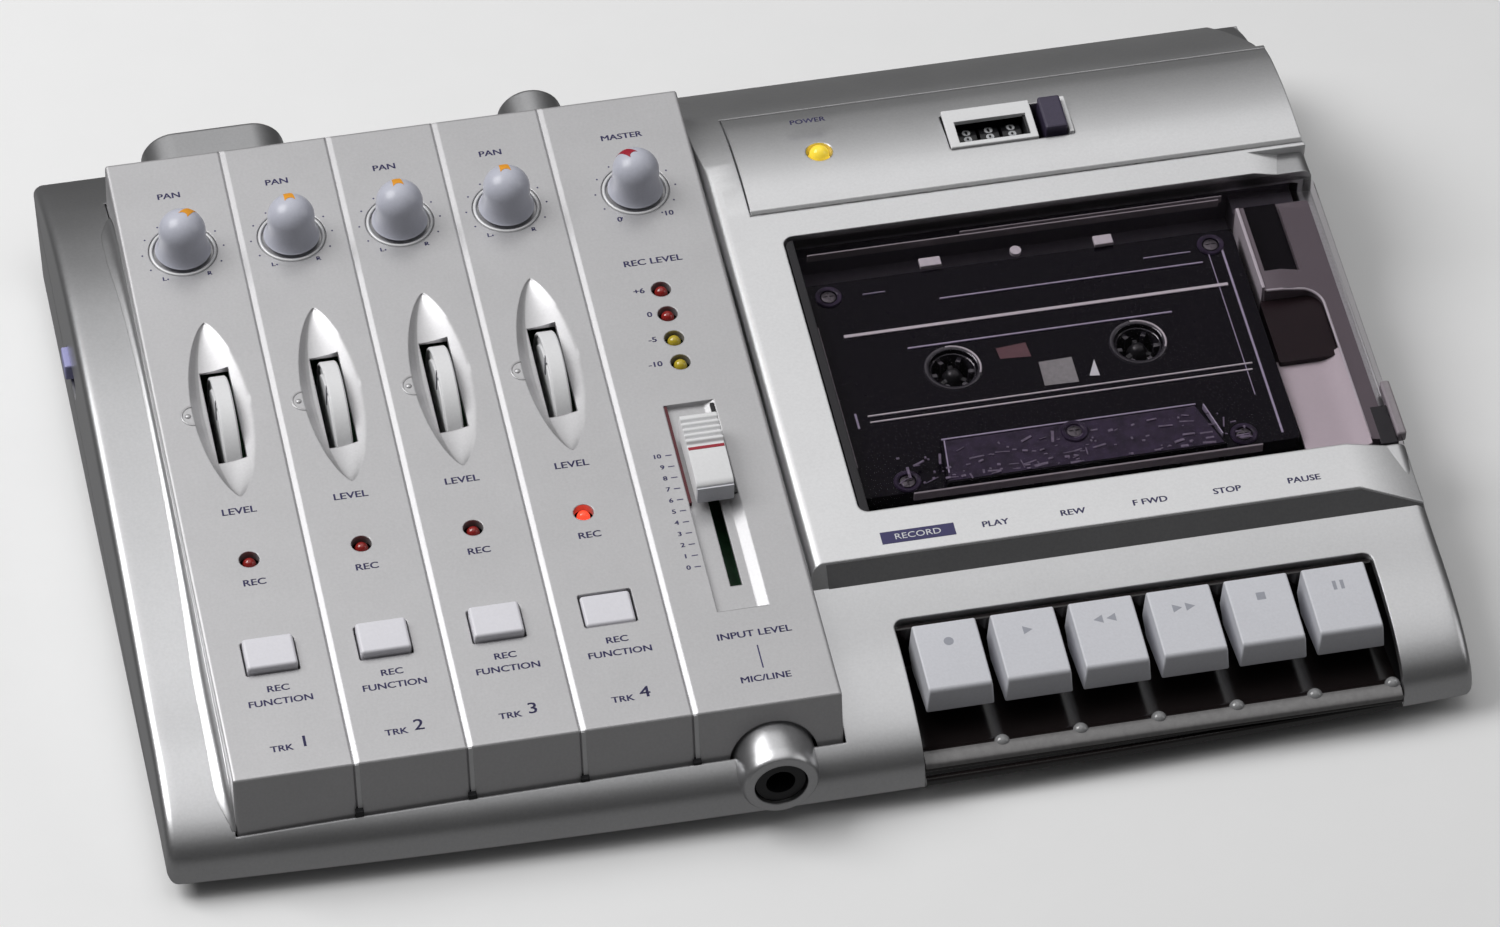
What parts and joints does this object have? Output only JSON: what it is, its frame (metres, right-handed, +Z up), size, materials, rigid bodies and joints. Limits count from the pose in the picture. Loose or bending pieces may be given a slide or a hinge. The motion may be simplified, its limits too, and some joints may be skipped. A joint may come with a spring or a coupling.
{
  "type": "portable cassette recorder with mixer",
  "caption": "Flat silver desktop cassette deck with a raised sloping mixer panel, thumb wheels, a fader, a smoked cassette door and piano keys at the front.",
  "frame": {"origin": "under the middle of the case, on the surface that the feet stand on", "axes": "+X to the right as seen by the user, +Y towards the rear jacks, +Z up"},
  "size_m": [0.2884, 0.2118, 0.0501],
  "materials": {
    "silver_plastic": "silver paint over moulded plastic, fine metallic grain, satin",
    "black_plastic": "moulded, satin",
    "control_plastic": "pale lilac grey, moulded, satin",
    "white_plastic": "white, moulded, satin",
    "smoked_plastic": "clear smoked moulding, polished",
    "cassette_plastic": "clear dark moulding, polished",
    "chassis_plastic": "purple grey, satin",
    "steel": "fine brushed",
    "brass": "turned",
    "rubber": "matt black",
    "circuit_board": "green solder mask",
    "tape": "wound magnetic tape, brown",
    "lilac_plastic": "moulded, satin"
  },
  "bodies": {
    "root": {"bottom_case": "black_plastic", "cassette_shell": "cassette_plastic", "counter_housing": "black_plastic", "dc_inlet": "black_plastic", "deck_cover": "silver_plastic", "deck_pcb": "circuit_board", "drive_belt": "rubber", "foot_front_left": "rubber", "foot_front_right": "rubber", "foot_rear_left": "rubber", "foot_rear_right": "rubber", "front_jack": "black_plastic", "key_shaft": "steel", "key_well": "black_plastic", "level_led_board": "circuit_board", "line_out_jack_left": "black_plastic", "line_out_jack_right": "black_plastic", "main_pcb": "circuit_board", "mixer_panel": "silver_plastic", "motor": "steel", "phones_jack": "black_plastic", "rec_led_board": "circuit_board", "top_case": "silver_plastic", "transport_chassis": "chassis_plastic"},
    "door": {"cassette_door": "smoked_plastic"},
    "key_record": {"key_record": "control_plastic"},
    "key_play": {"key_play": "control_plastic"},
    "key_rewind": {"key_rewind": "control_plastic"},
    "key_fast_forward": {"key_fast_forward": "control_plastic"},
    "key_stop": {"key_stop": "control_plastic"},
    "key_pause": {"key_pause": "control_plastic"},
    "pan_knob_1": {"pan_knob_1": "control_plastic"},
    "pan_knob_2": {"pan_knob_2": "control_plastic"},
    "pan_knob_3": {"pan_knob_3": "control_plastic"},
    "pan_knob_4": {"pan_knob_4": "control_plastic"},
    "master_knob": {"master_knob": "control_plastic"},
    "level_wheel_1": {"level_wheel_1": "white_plastic"},
    "level_wheel_2": {"level_wheel_2": "white_plastic"},
    "level_wheel_3": {"level_wheel_3": "white_plastic"},
    "level_wheel_4": {"level_wheel_4": "white_plastic"},
    "rec_button_1": {"rec_button_1": "white_plastic"},
    "rec_button_2": {"rec_button_2": "white_plastic"},
    "rec_button_3": {"rec_button_3": "white_plastic"},
    "rec_button_4": {"rec_button_4": "white_plastic"},
    "fader": {"fader_cap": "white_plastic"},
    "power_slider": {"power_slider": "lilac_plastic"},
    "reset_button": {"reset_button": "black_plastic"},
    "head_carriage": {"head_carriage": "steel", "record_head": "steel", "erase_head": "chassis_plastic"},
    "pinch_roller": {"pinch_roller": "rubber"},
    "flywheel": {"flywheel": "steel"},
    "motor_pulley": {"motor_pulley": "brass"},
    "takeup_reel": {"takeup_spindle": "black_plastic", "takeup_tape": "tape"},
    "supply_reel": {"supply_spindle": "black_plastic", "supply_tape": "tape"},
    "counter_hundreds": {"counter_wheel_hundreds": "black_plastic"},
    "counter_tens": {"counter_wheel_tens": "black_plastic"},
    "counter_units": {"counter_wheel_units": "black_plastic"}
  },
  "joints": [
    {"name": "door_hinge", "type": "hinge", "parent": "root", "child": "door", "pos_m": [0.081, 0.03595, 0.0323], "axis": [-1, 0, 0], "range_deg": [0, 75]},
    {"name": "key_record_press", "type": "hinge", "parent": "root", "child": "key_record", "pos_m": [0.03075, -0.0535, 0.0146], "axis": [1, 0, 0], "range_deg": [0, 5], "stiffness_Nm_per_rad": 1.2, "springref_deg": -2.86},
    {"name": "key_play_press", "type": "hinge", "parent": "root", "child": "key_play", "pos_m": [0.04815, -0.0535, 0.0146], "axis": [1, 0, 0], "range_deg": [0, 5], "stiffness_Nm_per_rad": 1.2, "springref_deg": -2.86},
    {"name": "key_rewind_press", "type": "hinge", "parent": "root", "child": "key_rewind", "pos_m": [0.06555, -0.0535, 0.0146], "axis": [1, 0, 0], "range_deg": [0, 5], "stiffness_Nm_per_rad": 1.2, "springref_deg": -2.86},
    {"name": "key_fast_forward_press", "type": "hinge", "parent": "root", "child": "key_fast_forward", "pos_m": [0.08295, -0.0535, 0.0146], "axis": [1, 0, 0], "range_deg": [0, 5], "stiffness_Nm_per_rad": 1.2, "springref_deg": -2.86},
    {"name": "key_stop_press", "type": "hinge", "parent": "root", "child": "key_stop", "pos_m": [0.10035, -0.0535, 0.0146], "axis": [1, 0, 0], "range_deg": [0, 5], "stiffness_Nm_per_rad": 1.2, "springref_deg": -2.86},
    {"name": "key_pause_press", "type": "hinge", "parent": "root", "child": "key_pause", "pos_m": [0.11775, -0.0535, 0.0146], "axis": [1, 0, 0], "range_deg": [0, 5], "stiffness_Nm_per_rad": 1.2, "springref_deg": -2.86},
    {"name": "pan_1_turn", "type": "hinge", "parent": "root", "child": "pan_knob_1", "pos_m": [-0.1146, 0.05625, 0.03912], "axis": [0, -0.0837, 0.9965], "range_deg": [-100, 180]},
    {"name": "pan_2_turn", "type": "hinge", "parent": "root", "child": "pan_knob_2", "pos_m": [-0.09, 0.05625, 0.03912], "axis": [0, -0.0837, 0.9965], "range_deg": [-140, 140]},
    {"name": "pan_3_turn", "type": "hinge", "parent": "root", "child": "pan_knob_3", "pos_m": [-0.0654, 0.05625, 0.03912], "axis": [0, -0.0837, 0.9965], "range_deg": [-140, 140]},
    {"name": "pan_4_turn", "type": "hinge", "parent": "root", "child": "pan_knob_4", "pos_m": [-0.041, 0.05625, 0.03912], "axis": [0, -0.0837, 0.9965], "range_deg": [-140, 140]},
    {"name": "master_turn", "type": "hinge", "parent": "root", "child": "master_knob", "pos_m": [-0.0114, 0.05625, 0.03912], "axis": [0, -0.0837, 0.9965], "range_deg": [-150, 130]},
    {"name": "level_1_turn", "type": "hinge", "parent": "root", "child": "level_wheel_1", "pos_m": [-0.113, 0.0084, 0.02336], "axis": [1, 0, 0], "range_deg": [-120, 120]},
    {"name": "level_2_turn", "type": "hinge", "parent": "root", "child": "level_wheel_2", "pos_m": [-0.0884, 0.0084, 0.02336], "axis": [1, 0, 0], "range_deg": [-120, 120]},
    {"name": "level_3_turn", "type": "hinge", "parent": "root", "child": "level_wheel_3", "pos_m": [-0.0638, 0.0084, 0.02336], "axis": [1, 0, 0], "range_deg": [-120, 120]},
    {"name": "level_4_turn", "type": "hinge", "parent": "root", "child": "level_wheel_4", "pos_m": [-0.0394, 0.0084, 0.02336], "axis": [1, 0, 0], "range_deg": [-120, 120]},
    {"name": "rec_1_press", "type": "slide", "parent": "root", "child": "rec_button_1", "axis": [0, 0.0837, -0.9965], "range_m": [0, 0.0018], "stiffness_N_per_m": 300, "springref_m": -0.002},
    {"name": "rec_2_press", "type": "slide", "parent": "root", "child": "rec_button_2", "axis": [0, 0.0837, -0.9965], "range_m": [0, 0.0018], "stiffness_N_per_m": 300, "springref_m": -0.002},
    {"name": "rec_3_press", "type": "slide", "parent": "root", "child": "rec_button_3", "axis": [0, 0.0837, -0.9965], "range_m": [0, 0.0018], "stiffness_N_per_m": 300, "springref_m": -0.002},
    {"name": "rec_4_release", "type": "slide", "parent": "root", "child": "rec_button_4", "axis": [0, -0.0837, 0.9965], "range_m": [0, 0.0018]},
    {"name": "fader_slide", "type": "slide", "parent": "root", "child": "fader", "axis": [0, 0.9965, 0.0837], "range_m": [-0.0285, 0.008]},
    {"name": "power_slide", "type": "slide", "parent": "root", "child": "power_slider", "axis": [0, 1, 0], "range_m": [-0.0065, 0]},
    {"name": "reset_press", "type": "slide", "parent": "root", "child": "reset_button", "axis": [0, 0.0837, -0.9965], "range_m": [0, 0.0012], "stiffness_N_per_m": 300, "springref_m": -0.002},
    {"name": "heads_forward", "type": "slide", "parent": "root", "child": "head_carriage", "axis": [0, 0.9965, 0.0837], "range_m": [0, 0.0041]},
    {"name": "pinch_roller_spin", "type": "hinge", "parent": "head_carriage", "child": "pinch_roller", "pos_m": [0.0964, -0.03954, 0.01582], "axis": [0, -0.0837, 0.9965], "continuous": true},
    {"name": "flywheel_spin", "type": "hinge", "parent": "root", "child": "flywheel", "pos_m": [0.0964, -0.02885, 0.0117], "axis": [0, -0.0837, 0.9965], "continuous": true},
    {"name": "motor_spin", "type": "hinge", "parent": "root", "child": "motor_pulley", "pos_m": [0.12, 0.0616, 0.01729], "axis": [0, -0.0837, 0.9965], "continuous": true},
    {"name": "takeup_spin", "type": "hinge", "parent": "root", "child": "takeup_reel", "pos_m": [0.09195, -0.00087, 0.01907], "axis": [0, -0.0837, 0.9965], "continuous": true},
    {"name": "supply_spin", "type": "hinge", "parent": "root", "child": "supply_reel", "pos_m": [0.04945, -0.00087, 0.01907], "axis": [0, -0.0837, 0.9965], "continuous": true},
    {"name": "counter_hundreds_turn", "type": "hinge", "parent": "root", "child": "counter_hundreds", "pos_m": [0.0674, 0.06441, 0.03037], "axis": [1, 0, 0], "continuous": true},
    {"name": "counter_tens_turn", "type": "hinge", "parent": "root", "child": "counter_tens", "pos_m": [0.0726, 0.06441, 0.03037], "axis": [1, 0, 0], "continuous": true},
    {"name": "counter_units_turn", "type": "hinge", "parent": "root", "child": "counter_units", "pos_m": [0.0778, 0.06441, 0.03037], "axis": [1, 0, 0], "continuous": true}
  ],
  "couplings": [
    {"joint": "motor_spin", "follows": "flywheel_spin", "ratio": 5.6667},
    {"joint": "pinch_roller_spin", "follows": "flywheel_spin", "ratio": -0.2667},
    {"joint": "takeup_spin", "follows": "flywheel_spin", "ratio": 0.0923},
    {"joint": "supply_spin", "follows": "flywheel_spin", "ratio": 0.0522},
    {"joint": "counter_units_turn", "follows": "flywheel_spin", "ratio": 0.05},
    {"joint": "counter_tens_turn", "follows": "flywheel_spin", "ratio": 0.005},
    {"joint": "counter_hundreds_turn", "follows": "flywheel_spin", "ratio": 0.0005},
    {"joint": "heads_forward", "follows": "key_play_press", "m_per_rad": 0.0458}
  ]
}
